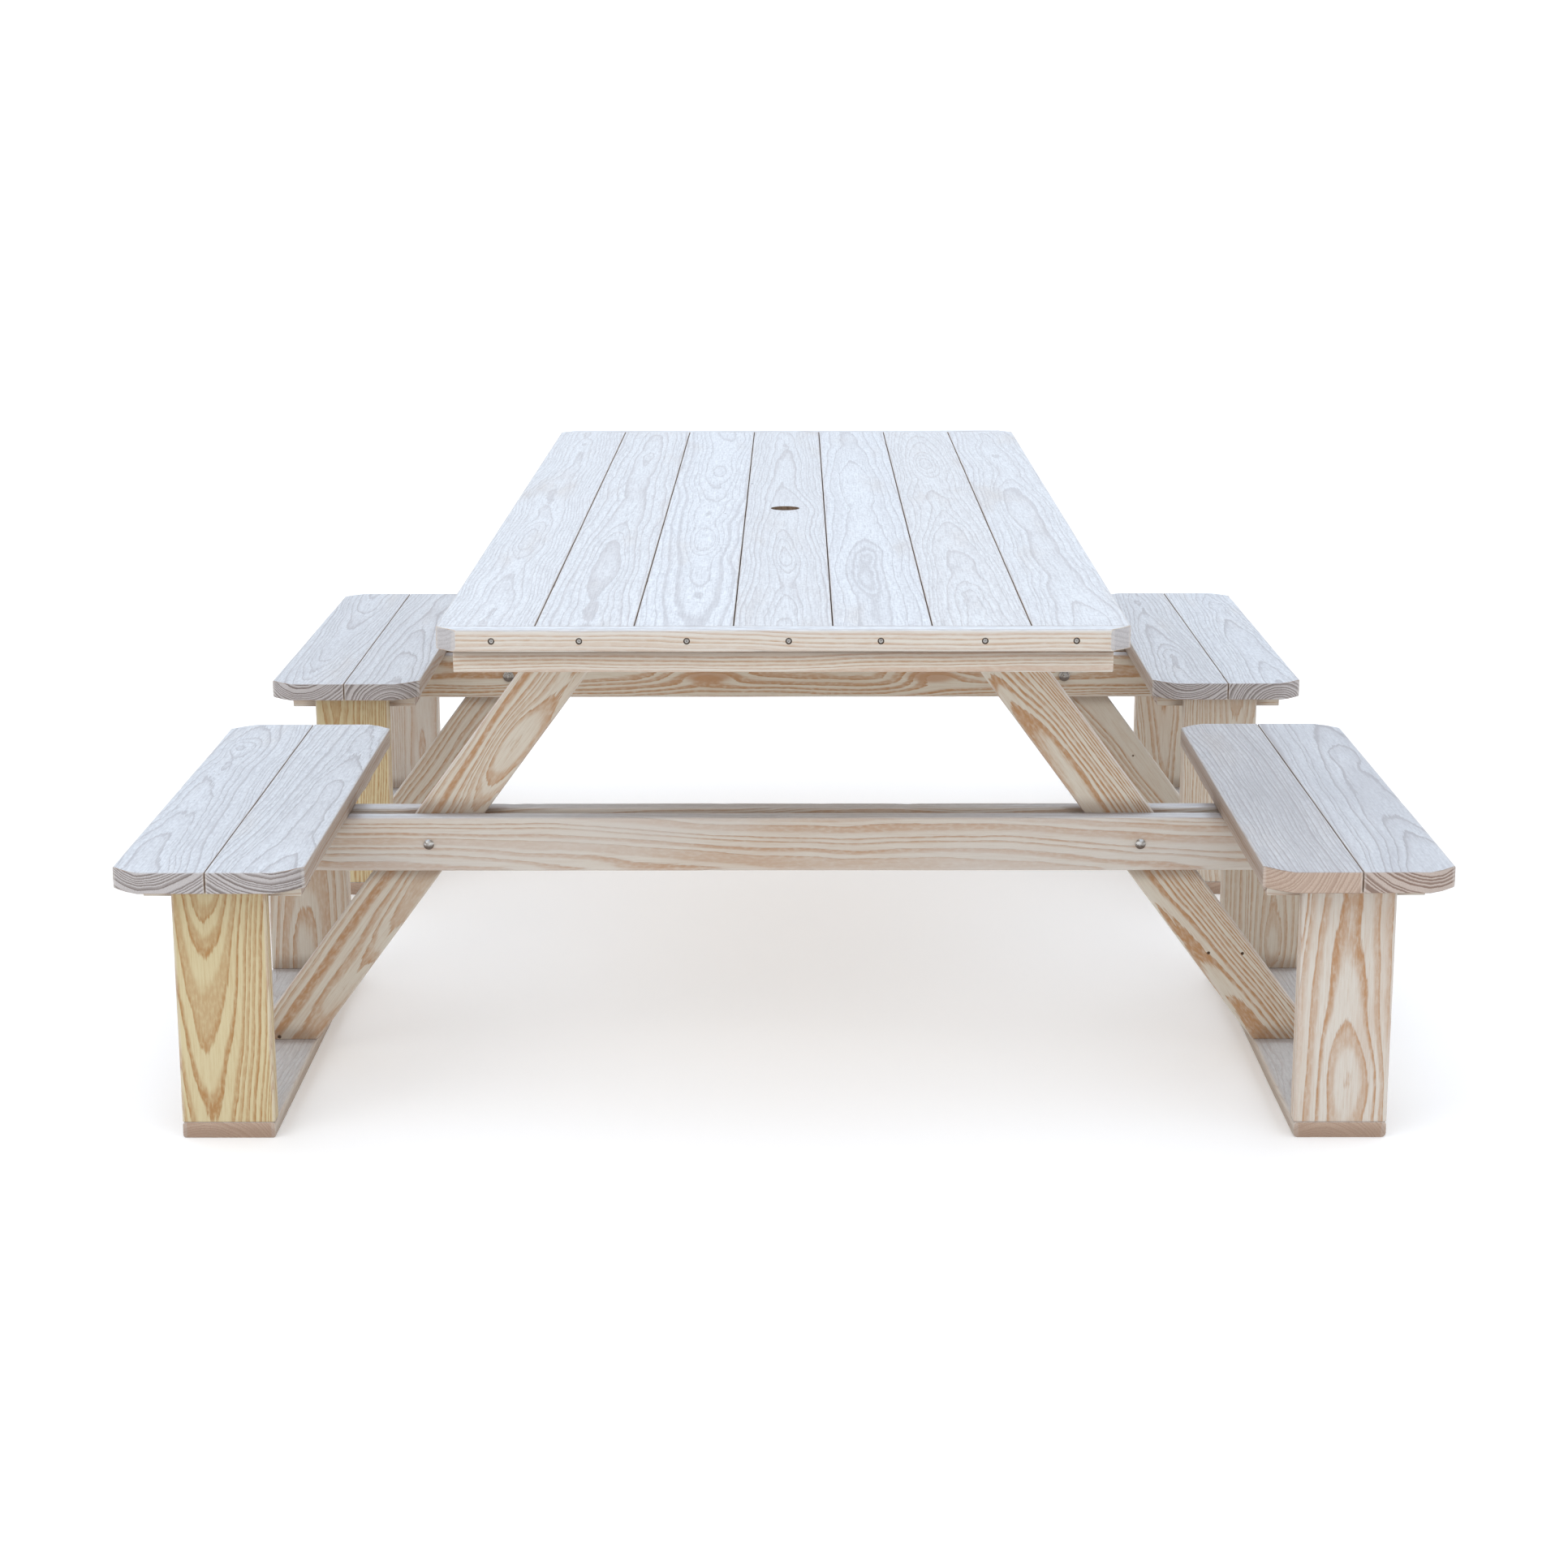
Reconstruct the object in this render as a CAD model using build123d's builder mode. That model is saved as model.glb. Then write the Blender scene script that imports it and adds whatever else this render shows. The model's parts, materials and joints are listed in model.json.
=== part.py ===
"""Picnic table with a plank top, two A-frames and four backless benches.

The top is seven planks laid lengthways, closed at each end by a trim piece with clipped
corners. Each A-frame stands under the middle of a pair of benches: its two crossbeams
clasp the sloping legs and run out under the seats, and the legs stand on the benches'
foot runners, so that the table and its benches hold together as one.

+X is to the right, +Y to the back and +Z up. The origin is on the ground under the
middle of the top. All sizes are in mm.
"""
import os
from math import cos, radians, tan

from build123d import *

os.makedirs("parts", exist_ok=True)

# Lumber
WIDE = 140  # planks, seat boards, bench legs and runners
NARROW = 89  # A-frame legs, crossbeams, rails and cleats
THICK = 32  # every board but the runners and seat cleats
RUNNER_THICK = 25
EASE = 3  # rounding along the boards' long edges
BEAM_EASE = 5  # of the crossbeams, rails and runners
TRIM_EASE = 6

# Table top
TOP_HEIGHT = 800
TOP_LENGTH = 2400
PLANK_COUNT = 7
PLANK_GAP = 1.2
UMBRELLA_RADIUS = 26
RAIL_LENGTH = 936
RAIL_SETBACK = 14  # from the trim's outer face

# Benches
SEAT_HEIGHT = 440
SEAT_LENGTH = 1000
SEAT_GAP = 1
SEAT_CLIP = 35  # leg of each clipped corner
SEAT_CLEAT_LENGTH = 236
SEAT_CLEAT_THICK = 38
RUNNER_LENGTH = 816
BENCH_X = 838  # from the middle of the top to the middle of each seat
BENCH_Y = 678

# A-frames
LEG_LEAN = 36.5  # degrees from upright
LEG_FOOT_X = 820  # middle of the foot of each sloping leg
BEAM_LENGTH = 1916

# Fasteners
CLEARANCE = 0.1  # around a shank, on the radius
SHANK_RADIUS = 2.4
HEAD_RADIUS = 4.5
COUNTERSINK_ANGLE = 82
TRIM_SCREW_LENGTH = 75
BOARD_SCREW_LENGTH = 50
RUNNER_SCREW_LENGTH = 75
LONG_SCREW_LENGTH = 100
LONG_HEAD_RADIUS = 6
LONG_HEAD_HEIGHT = 3
LONG_HEAD_SINK = 10  # depth of the pocket that the head lies in
BOLT_RADIUS = 4
BOLT_HEAD_RADIUS = 8.5
BOLT_HEAD_HEIGHT = 4.5
BOLT_NECK_DEPTH = 5
WASHER_RADIUS = 11
WASHER_THICK = 2
NUT_ACROSS_FLATS = 13
NUT_HEIGHT = 6.5
BOLT_END = 3  # stands out of the nut
SCREW_SPREAD = 28  # from a plank's middle to each of its screws
TRIM_SCREW_XS = (-412, -288, -136, 8, 138, 285, 414)  # set by eye, one into each plank

# Worked out
PLANK_PITCH = WIDE + PLANK_GAP
TOP_WIDTH = PLANK_COUNT * PLANK_PITCH - PLANK_GAP
PLANK_LENGTH = TOP_LENGTH - 2 * THICK
TOP_UNDERSIDE = TOP_HEIGHT - THICK
SEAT_UNDERSIDE = SEAT_HEIGHT - THICK
BEAM_BOTTOM = SEAT_UNDERSIDE - NARROW
LEG_SLOPE = tan(radians(LEG_LEAN))
HEAD_DEPTH = (HEAD_RADIUS - SHANK_RADIUS) / tan(radians(COUNTERSINK_ANGLE / 2))
SEAT_BOARD_OFFSET = (WIDE + SEAT_GAP) / 2
LEG_OFFSET = (RUNNER_LENGTH - THICK) / 2  # bench legs, from the middle of the bench
CLEAT_OFFSET = LEG_OFFSET - (THICK + NARROW) / 2
RAIL_Y = TOP_LENGTH / 2 - RAIL_SETBACK - NARROW / 2
PLANK_XS = [(i - (PLANK_COUNT - 1) / 2) * PLANK_PITCH for i in range(PLANK_COUNT)]

ENDS = {"front": -1, "back": 1}
SIDES = {"left": -1, "right": 1}
LAYERS = {"outer": 1, "inner": -1}  # away from, or towards, the middle of the table

# A fastener's place has its head at the origin and its shank along the place's -Z.
DRIVEN_UP = (180, 0, 0)
DRIVEN_BACK = (90, 0, 0)
DRIVEN_FORWARD = (-90, 0, 0)


def inward(end):
    """The turn that drives a fastener from one end of the table towards its middle."""
    return DRIVEN_BACK if end < 0 else DRIVEN_FORWARD


def outward(end):
    """The turn that drives a fastener away from the middle of the table."""
    return inward(-end)


def leg_x(side, z):
    """Where the middle line of a sloping leg is at a given height."""
    return side * (LEG_FOOT_X - LEG_SLOPE * (z - RUNNER_THICK))


def finish(piece, label):
    """Label a finished piece and write it."""
    piece.part.label = label
    export_step(piece.part, f"parts/{label}.step")


# Where the fasteners go


def trim_screw_places(end):
    middle = TOP_HEIGHT - THICK / 2
    return [Location((x, end * TOP_LENGTH / 2, middle), inward(end)) for x in TRIM_SCREW_XS]


def rail_screw_places(end, xs=PLANK_XS):
    bottom = TOP_UNDERSIDE - THICK
    return [
        Location((x + dx, end * RAIL_Y, bottom), DRIVEN_UP)
        for x in xs
        for dx in (-SCREW_SPREAD, SCREW_SPREAD)
    ]


def batten_screw_places(xs=PLANK_XS):
    bottom = TOP_UNDERSIDE - THICK
    across = WIDE / 2 - SCREW_SPREAD
    return [
        Location((x + side * SCREW_SPREAD, side * across, bottom), DRIVEN_UP)
        for x in xs
        for side in SIDES.values()
    ]


def seat_screw_places(bench_x, bench_y, boards=LAYERS.values(), cleats=ENDS.values()):
    return [
        Location(
            (
                bench_x + board * SEAT_BOARD_OFFSET + dx,
                bench_y + cleat * CLEAT_OFFSET,
                SEAT_UNDERSIDE - SEAT_CLEAT_THICK,
            ),
            DRIVEN_UP,
        )
        for cleat in cleats
        for board in boards
        for dx in (-SCREW_SPREAD, SCREW_SPREAD)
    ]


def runner_screw_places(side, end, feet=("front", "middle", "back")):
    """Up through a runner: two into each bench leg and two into the sloping leg."""
    bench_x, bench_y = side * BENCH_X, end * BENCH_Y
    ys = {"front": bench_y - LEG_OFFSET, "middle": bench_y, "back": bench_y + LEG_OFFSET}
    places = []
    for foot in feet:
        if foot == "middle":
            xs = [side * (LEG_FOOT_X - dx) for dx in (THICK, 0)]
        else:
            xs = [bench_x - NARROW / 2, bench_x + NARROW / 2]
        places += [Location((x, ys[foot], 0), DRIVEN_UP) for x in xs]
    return places


def top_cleat_screw_places(end, xs=PLANK_XS):
    """One into each plank, set towards the table's middle to clear the cleat's bolts."""
    y = end * (BENCH_Y - THICK)
    return [
        Location((x - SCREW_SPREAD * ((x > 0) - (x < 0)), y, TOP_UNDERSIDE - NARROW), DRIVEN_UP)
        for x in xs
    ]


def beam_screw_places(end, layer, side, boards=LAYERS.values()):
    y = end * (BENCH_Y + layer * THICK)
    return [
        Location((side * BENCH_X + board * SEAT_BOARD_OFFSET, y, BEAM_BOTTOM), DRIVEN_UP)
        for board in boards
    ]


def leg_screw_places(bench_x, bench_y, cleat):
    """From a seat cleat's inner edge, through the cleat, into the bench leg beside it."""
    y = bench_y + cleat * (CLEAT_OFFSET - NARROW / 2)
    z = SEAT_UNDERSIDE - SEAT_CLEAT_THICK / 2
    return [
        Location((bench_x + dx, y, z), outward(cleat)) for dx in (-SCREW_SPREAD, SCREW_SPREAD)
    ]


def beam_bolt_places(end):
    """On the outer crossbeam's face, one bolt to each sloping leg."""
    z = BEAM_BOTTOM + NARROW / 2
    y = end * (BENCH_Y + THICK * 3 / 2)
    return [Location((leg_x(side, z), y, z), inward(end)) for side in SIDES.values()]


def cleat_bolt_places(end):
    """On the sloping legs' outer faces, two bolts to each leg."""
    y = end * (BENCH_Y + THICK / 2)
    middle = TOP_UNDERSIDE - NARROW / 2
    heights = (middle - NARROW / 4, middle + NARROW / 4)
    return [
        Location((leg_x(side, z), y, z), inward(end))
        for side in SIDES.values()
        for z in heights
    ]


# Holes, cut in whichever board is being built


def drill_screws(places, length):
    with Locations(*places):
        CounterSinkHole(
            SHANK_RADIUS + CLEARANCE, HEAD_RADIUS + CLEARANCE, length, COUNTERSINK_ANGLE
        )


def drill_long_screws(places):
    with Locations(*places):
        CounterBoreHole(
            SHANK_RADIUS + CLEARANCE,
            LONG_HEAD_RADIUS + CLEARANCE,
            LONG_HEAD_SINK,
            LONG_HEAD_SINK + LONG_SCREW_LENGTH,
        )


def drill_bolts(places, layers, neck):
    """Bolt holes through a stack of boards, with square pockets for the necks if asked."""
    with Locations(*places):
        Hole(BOLT_RADIUS + CLEARANCE, layers * THICK)
        if neck:
            pocket = 2 * (BOLT_RADIUS + CLEARANCE)
            down = (Align.CENTER, Align.CENTER, Align.MAX)
            Box(pocket, pocket, BOLT_NECK_DEPTH, align=down, mode=Mode.SUBTRACT)


# The table top


def top_plank(x, has_umbrella_hole):
    with BuildPart() as plank:
        with BuildSketch(Plane.XZ):
            with Locations((x, TOP_HEIGHT - THICK / 2)):
                RectangleRounded(WIDE, THICK, EASE)
        extrude(amount=PLANK_LENGTH / 2, both=True)
        if has_umbrella_hole:
            with Locations((0, 0, TOP_HEIGHT)):
                Hole(UMBRELLA_RADIUS, THICK)
        drill_screws(batten_screw_places([x]), BOARD_SCREW_LENGTH)
        for end in ENDS.values():
            trim_screws = trim_screw_places(end)
            here = [place for place in trim_screws if abs(place.position.X - x) < WIDE / 2]
            drill_screws(here, TRIM_SCREW_LENGTH)
            drill_screws(rail_screw_places(end, [x]), BOARD_SCREW_LENGTH)
            drill_long_screws(top_cleat_screw_places(end, [x]))
    return plank


def top_trim(end):
    """Closes the planks' ends; its own ends are clipped at 45 degrees."""
    edge = Plane((0, end * TOP_LENGTH / 2, TOP_UNDERSIDE), x_dir=(-end, 0, 0), z_dir=(0, 0, 1))
    inner, outer = TOP_WIDTH / 2, TOP_WIDTH / 2 - THICK
    with BuildPart() as trim:
        with BuildSketch(edge):
            Polygon((-outer, 0), (outer, 0), (inner, THICK), (-inner, THICK), align=None)
        extrude(amount=THICK)
        top_edges = edges().group_by(Axis.Z)[-1]
        fillet(top_edges.sort_by(SortBy.LENGTH)[:-1], TRIM_EASE)
        drill_screws(trim_screw_places(end), TRIM_SCREW_LENGTH)
    return trim


def top_rail(end):
    """Lies flat under the planks' ends, just behind the trim's face."""
    with BuildPart() as rail:
        with BuildSketch(Plane.YZ):
            with Locations((end * RAIL_Y, TOP_UNDERSIDE - THICK / 2)):
                RectangleRounded(NARROW, THICK, BEAM_EASE)
        extrude(amount=RAIL_LENGTH / 2, both=True)
        drill_screws(rail_screw_places(end), BOARD_SCREW_LENGTH)
    return rail


def umbrella_batten():
    """Lies flat under the middle of the planks and lengthens the umbrella hole."""
    with BuildPart() as batten:
        with BuildSketch(Plane.YZ):
            with Locations((0, TOP_UNDERSIDE - THICK / 2)):
                RectangleRounded(WIDE, THICK, EASE)
        extrude(amount=RAIL_LENGTH / 2, both=True)
        with Locations((0, 0, TOP_UNDERSIDE)):
            Hole(UMBRELLA_RADIUS, THICK)
        drill_screws(batten_screw_places(), BOARD_SCREW_LENGTH)
    return batten


def top_cleat(end):
    """Stands on edge under the planks, bolted to the inner faces of the sloping legs."""
    with BuildPart() as cleat:
        with BuildSketch(Plane.YZ):
            with Locations((end * (BENCH_Y - THICK), TOP_UNDERSIDE - NARROW / 2)):
                RectangleRounded(THICK, NARROW, EASE)
        extrude(amount=RAIL_LENGTH / 2, both=True)
        drill_long_screws(top_cleat_screw_places(end))
        drill_bolts(cleat_bolt_places(end), layers=2, neck=False)
    return cleat


# The A-frames


def sloping_leg(side, end):
    half = NARROW / 2 / cos(radians(LEG_LEAN))
    foot, top = leg_x(side, RUNNER_THICK), leg_x(side, TOP_UNDERSIDE)
    along = Axis((0, 0, 0), (top - foot, 0, TOP_UNDERSIDE - RUNNER_THICK))
    with BuildPart() as leg:
        with BuildSketch(Plane.XZ.offset(-end * BENCH_Y)):
            Polygon(
                (foot - half, RUNNER_THICK),
                (foot + half, RUNNER_THICK),
                (top + half, TOP_UNDERSIDE),
                (top - half, TOP_UNDERSIDE),
                align=None,
            )
        extrude(amount=THICK / 2, both=True)
        fillet(edges().filter_by(along), EASE)
        drill_screws(runner_screw_places(side, end, ["middle"]), RUNNER_SCREW_LENGTH)
        drill_bolts(beam_bolt_places(end), layers=3, neck=False)
        drill_bolts(cleat_bolt_places(end), layers=2, neck=True)
    return leg


def crossbeam(end, layer):
    y = end * (BENCH_Y + layer * THICK)
    with BuildPart() as beam:
        with BuildSketch(Plane.YZ):
            with Locations((y, BEAM_BOTTOM + NARROW / 2)):
                RectangleRounded(THICK, NARROW, BEAM_EASE)
        extrude(amount=BEAM_LENGTH / 2, both=True)
        for side in SIDES.values():
            drill_long_screws(beam_screw_places(end, layer, side))
        drill_bolts(beam_bolt_places(end), layers=3, neck=layer == LAYERS["outer"])
    return beam


# The benches


def seat_board(side, end, layer):
    board = side * layer
    bench_x, bench_y = side * BENCH_X, end * BENCH_Y
    middle = (bench_x + board * SEAT_BOARD_OFFSET, bench_y)
    with BuildPart() as seat:
        with BuildSketch(Plane.XY.offset(SEAT_UNDERSIDE)):
            with Locations(middle):
                Rectangle(WIDE, SEAT_LENGTH)
            free_side = vertices().group_by(Axis.X)[0 if board < 0 else -1]
            chamfer(free_side, SEAT_CLIP)
        extrude(amount=THICK)
        fillet(edges().filter_by(Axis.Z, reverse=True), EASE)
        drill_screws(seat_screw_places(bench_x, bench_y, boards=[board]), BOARD_SCREW_LENGTH)
        for beam in LAYERS.values():
            drill_long_screws(beam_screw_places(end, beam, side, boards=[board]))
    return seat


def seat_cleat(side, end, cleat):
    """Lies flat under the two seat boards, against the inner face of a bench leg."""
    bench_x, bench_y = side * BENCH_X, end * BENCH_Y
    with BuildPart() as piece:
        with BuildSketch(Plane.YZ.offset(bench_x)):
            with Locations((bench_y + cleat * CLEAT_OFFSET, SEAT_UNDERSIDE - SEAT_CLEAT_THICK / 2)):
                RectangleRounded(NARROW, SEAT_CLEAT_THICK, EASE)
        extrude(amount=SEAT_CLEAT_LENGTH / 2, both=True)
        drill_screws(seat_screw_places(bench_x, bench_y, cleats=[cleat]), BOARD_SCREW_LENGTH)
        drill_long_screws(leg_screw_places(bench_x, bench_y, cleat))
    return piece


def bench_leg(side, end, place):
    bench_x, bench_y = side * BENCH_X, end * BENCH_Y
    with BuildPart() as leg:
        with BuildSketch(Plane.XY.offset(RUNNER_THICK)):
            with Locations((bench_x, bench_y + ENDS[place] * LEG_OFFSET)):
                RectangleRounded(WIDE, THICK, EASE)
        extrude(amount=SEAT_UNDERSIDE - RUNNER_THICK)
        drill_screws(runner_screw_places(side, end, [place]), RUNNER_SCREW_LENGTH)
        drill_long_screws(leg_screw_places(bench_x, bench_y, ENDS[place]))
    return leg


def foot_runner(side, end):
    with BuildPart() as runner:
        with BuildSketch(Plane.XZ.offset(-end * BENCH_Y)):
            with Locations((side * BENCH_X, RUNNER_THICK / 2)):
                RectangleRounded(WIDE, RUNNER_THICK, BEAM_EASE)
        extrude(amount=RUNNER_LENGTH / 2, both=True)
        drill_screws(runner_screw_places(side, end), RUNNER_SCREW_LENGTH)
    return runner


# The fasteners


def countersunk_screws(places, length):
    tip = 2 * SHANK_RADIUS
    with BuildPart() as screw:
        with BuildSketch(Plane.XZ):
            with BuildLine():
                Polyline(
                    (0, 0),
                    (HEAD_RADIUS, 0),
                    (SHANK_RADIUS, -HEAD_DEPTH),
                    (SHANK_RADIUS, tip - length),
                    (0, -length),
                    close=True,
                )
            make_face()
        revolve(axis=Axis.Z)
    return set_out(screw, places)


def long_screws(places):
    under_head = -LONG_HEAD_SINK
    end = under_head - LONG_SCREW_LENGTH
    with BuildPart() as screw:
        with BuildSketch(Plane.XZ):
            with BuildLine():
                Polyline(
                    (0, under_head + LONG_HEAD_HEIGHT),
                    (LONG_HEAD_RADIUS, under_head + LONG_HEAD_HEIGHT),
                    (LONG_HEAD_RADIUS, under_head),
                    (SHANK_RADIUS, under_head),
                    (SHANK_RADIUS, end + 2 * SHANK_RADIUS),
                    (0, end),
                    close=True,
                )
            make_face()
        revolve(axis=Axis.Z)
    return set_out(screw, places)


def carriage_bolts(places, layers):
    """A domed head, a square neck let into the wood, and a plain shank."""
    reach = layers * THICK + WASHER_THICK + NUT_HEIGHT + BOLT_END
    with BuildPart() as bolt:
        with BuildSketch(Plane.XZ):
            with BuildLine():
                Line((0, BOLT_HEAD_HEIGHT), (0, 0))
                Line((0, 0), (BOLT_HEAD_RADIUS, 0))
                RadiusArc((BOLT_HEAD_RADIUS, 0), (0, BOLT_HEAD_HEIGHT), -dome_radius())
            make_face()
        revolve(axis=Axis.Z)
        down = (Align.CENTER, Align.CENTER, Align.MAX)
        Box(2 * BOLT_RADIUS, 2 * BOLT_RADIUS, BOLT_NECK_DEPTH, align=down)
        Cylinder(BOLT_RADIUS, reach, align=down)
    return set_out(bolt, places)


def dome_radius():
    """Of the sphere that a bolt's head is cut from."""
    return (BOLT_HEAD_RADIUS**2 + BOLT_HEAD_HEIGHT**2) / (2 * BOLT_HEAD_HEIGHT)


def washers(places, layers):
    seat = -layers * THICK
    with BuildPart() as washer:
        with BuildSketch(Plane.XY.offset(seat - WASHER_THICK)):
            Circle(WASHER_RADIUS)
            Circle(BOLT_RADIUS + CLEARANCE, mode=Mode.SUBTRACT)
        extrude(amount=WASHER_THICK)
    return set_out(washer, places)


def nuts(places, layers):
    seat = -layers * THICK - WASHER_THICK
    with BuildPart() as nut:
        with BuildSketch(Plane.XY.offset(seat - NUT_HEIGHT)):
            RegularPolygon(NUT_ACROSS_FLATS / 2, 6, major_radius=False)
            Circle(BOLT_RADIUS + CLEARANCE, mode=Mode.SUBTRACT)
        extrude(amount=NUT_HEIGHT)
    return set_out(nut, places)


def set_out(fastener, places):
    """Copies of one fastener, a separate solid at each place."""
    with BuildPart() as group:
        with Locations(*places):
            add(fastener.part)
    return group


def grouped(*groups):
    """Several groups of fasteners in one node."""
    with BuildPart() as group:
        for each in groups:
            add(each.part)
    return group


# Build and write every piece

for number, plank_x in enumerate(PLANK_XS, start=1):
    finish(top_plank(plank_x, has_umbrella_hole=plank_x == 0), f"top_plank_{number}")
finish(umbrella_batten(), "umbrella_batten")

for end_name, end in ENDS.items():
    finish(top_trim(end), f"top_trim_{end_name}")
    finish(top_rail(end), f"top_rail_{end_name}")
    finish(top_cleat(end), f"top_cleat_{end_name}")
    for layer_name, layer in LAYERS.items():
        finish(crossbeam(end, layer), f"crossbeam_{end_name}_{layer_name}")
    for side_name, side in SIDES.items():
        bench = f"bench_{end_name}_{side_name}"
        finish(sloping_leg(side, end), f"sloping_leg_{end_name}_{side_name}")
        finish(foot_runner(side, end), f"{bench}_runner")
        for layer_name, layer in LAYERS.items():
            finish(seat_board(side, end, layer), f"{bench}_seat_{layer_name}")
        for place_name, place in ENDS.items():
            finish(seat_cleat(side, end, place), f"{bench}_cleat_{place_name}")
            finish(bench_leg(side, end, place_name), f"{bench}_leg_{place_name}")

benches = [(side, end) for end in ENDS.values() for side in SIDES.values()]
board_places = batten_screw_places()
long_places = []
for end in ENDS.values():
    board_places += rail_screw_places(end)
    long_places += top_cleat_screw_places(end)
for side, end in benches:
    board_places += seat_screw_places(side * BENCH_X, end * BENCH_Y)
    for layer in LAYERS.values():
        long_places += beam_screw_places(end, layer, side)
    for cleat in ENDS.values():
        long_places += leg_screw_places(side * BENCH_X, end * BENCH_Y, cleat)
trim_places = [place for end in ENDS.values() for place in trim_screw_places(end)]
runner_places = [place for side, end in benches for place in runner_screw_places(side, end)]
beam_bolts = [place for end in ENDS.values() for place in beam_bolt_places(end)]
cleat_bolts = [place for end in ENDS.values() for place in cleat_bolt_places(end)]

finish(countersunk_screws(trim_places, TRIM_SCREW_LENGTH), "trim_screws")
finish(countersunk_screws(board_places, BOARD_SCREW_LENGTH), "board_screws")
finish(countersunk_screws(runner_places, RUNNER_SCREW_LENGTH), "runner_screws")
finish(long_screws(long_places), "long_screws")
finish(carriage_bolts(beam_bolts, layers=3), "beam_bolts")
finish(carriage_bolts(cleat_bolts, layers=2), "cleat_bolts")
finish(grouped(washers(beam_bolts, layers=3), washers(cleat_bolts, layers=2)), "bolt_washers")
finish(grouped(nuts(beam_bolts, layers=3), nuts(cleat_bolts, layers=2)), "bolt_nuts")
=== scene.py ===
"""Looks for the picnic table: unsealed pine boards and zinc-plated fasteners.

Every board is remade inside its CAD box with eased, slightly uneven edges, and carries its
own place in the log as a mesh attribute. One wood shader then gives each board true
growth rings: arches on the wide faces, lines on the edges and arcs on the ends. Every
fastener is remade on its own place, which is read from the CAD fastener's mesh, and the
boards get the pockets that the heads lie in. All sizes are in metres.
"""

import json
import math
import random

import bpy
from mathutils import Matrix, Vector, noise


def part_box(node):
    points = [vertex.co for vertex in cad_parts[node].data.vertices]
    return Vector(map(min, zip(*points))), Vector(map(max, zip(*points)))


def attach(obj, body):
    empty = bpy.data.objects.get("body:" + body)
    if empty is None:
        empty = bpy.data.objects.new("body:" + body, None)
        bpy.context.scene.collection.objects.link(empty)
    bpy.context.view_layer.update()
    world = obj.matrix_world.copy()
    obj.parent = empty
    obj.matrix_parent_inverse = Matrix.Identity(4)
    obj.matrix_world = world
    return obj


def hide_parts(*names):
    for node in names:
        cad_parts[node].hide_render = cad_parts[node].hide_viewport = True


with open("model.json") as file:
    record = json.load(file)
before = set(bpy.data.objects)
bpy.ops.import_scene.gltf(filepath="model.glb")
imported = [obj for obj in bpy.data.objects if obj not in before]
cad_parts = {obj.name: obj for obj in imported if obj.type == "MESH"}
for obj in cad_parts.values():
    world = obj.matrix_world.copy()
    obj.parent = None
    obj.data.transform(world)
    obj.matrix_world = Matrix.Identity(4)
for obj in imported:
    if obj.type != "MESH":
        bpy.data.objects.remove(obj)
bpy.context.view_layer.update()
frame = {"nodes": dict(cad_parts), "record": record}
nodes = frame["nodes"]

X, Y, Z = Vector((1, 0, 0)), Vector((0, 1, 0)), Vector((0, 0, 1))

# Boards
SECTION_STEP = 0.02  # between the cross-sections along a board
FACE_STEP = 0.02  # between the points across its faces
EDGE_EASE = 0.003  # the rounding of an edge
SEAM_EASE = 0.0015  # where two boards lie side by side
BEAM_EASE = 0.005
END_EASE = 0.0009
EDGE_BAND = 0.002  # beside each eased edge, where its wear fades out
ARC_STEPS = 3  # facets of an eased edge
SIDE_WANDER = 0.0002  # how far a board's sides fall short of straight
SEAT_CLIP = 0.035  # off each side of a seat's clipped corners
BOARD_SHARP = math.radians(35)  # edges that turn more than this are shaded sharp

# Wood
CREVICE = 0.03  # how near another surface has to be for painted shade and dirt to darken the wood between the two

# Light
LIGHT = 1.22  # of the white all round, which shows the floor as white
WHITE = (1.0, 1.0, 1.0)
OVERHEAD = (0.93, 1.04, 1.2)
SKY_LOW, SKY_HIGH = 0.1, 0.95  # between these heights the sky turns from white to that
FLOOR = (0.92, 0.895, 0.86)
FLOOR_GLOW = 0.15  # as light from under it
FLOOR_HALF = 150.0  # wide enough for its edges to stay out of sight
KEY_PLACE = (-4.0, -5.0, 4.5)
KEY_AIM = (0.0, 0.0, 0.4)
KEY_SIZE = 4.0
KEY_WATTS = 40.0
KEY_COLOUR = (1.0, 0.96, 0.9)

# Camera
CAMERA_PLACE = (0.0145, -5.271, 1.558)
CAMERA_DOWN, CAMERA_YAW, CAMERA_ROLL = (math.radians(a) for a in (13.55, -0.19, 0.09))
SENSOR, LENS = 36, 67.4  # mm

# Fasteners
ROUND = 32  # facets
HEAD_SINK = 0.0014  # countersunk heads lie this far below the wood
POCKET_SPARE = 0.0002
OVERSHOOT = 0.002  # how far a hole's cutter goes past the wood
UNDER_FACE = 0.002  # this far under a screw head's face is inside the board that it holds
TRIM_HEAD, SCREW_HEAD = 0.82, 0.95  # of the CAD heads' radius, so that a gap shows round them
SCREW_SHANK = 0.0024
SCREW_PITCH = 0.003
SCREW_PLAIN = 0.012  # of the shank below the head is without thread
BOLT_SHANK = 0.004
BOLT_HEAD = 0.0045  # the height of its dome
BOLT_THREAD = 0.0125  # the length of its thread
BOLT_PITCH = 0.00125
BOLT_END = 0.003  # stands out of the nut
NUT_HEIGHT = 0.0065
NUT_FLAT = 0.0065  # from its axis to a flat
NUT_CHAMFER = 0.0009
NUT_CORNER = 0.93  # of the corners' reach is left where they are turned off
BORE = 0.0041  # of nuts and washers
WASHER = 0.002
WASHER_RIM = 0.011
WASHER_EASE = 0.0003
UNDER_SHADE = 1.3  # more than 1 puts some painted shade above a head's middle too
STEEL_SHARP = math.radians(38)


# Node trees


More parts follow.
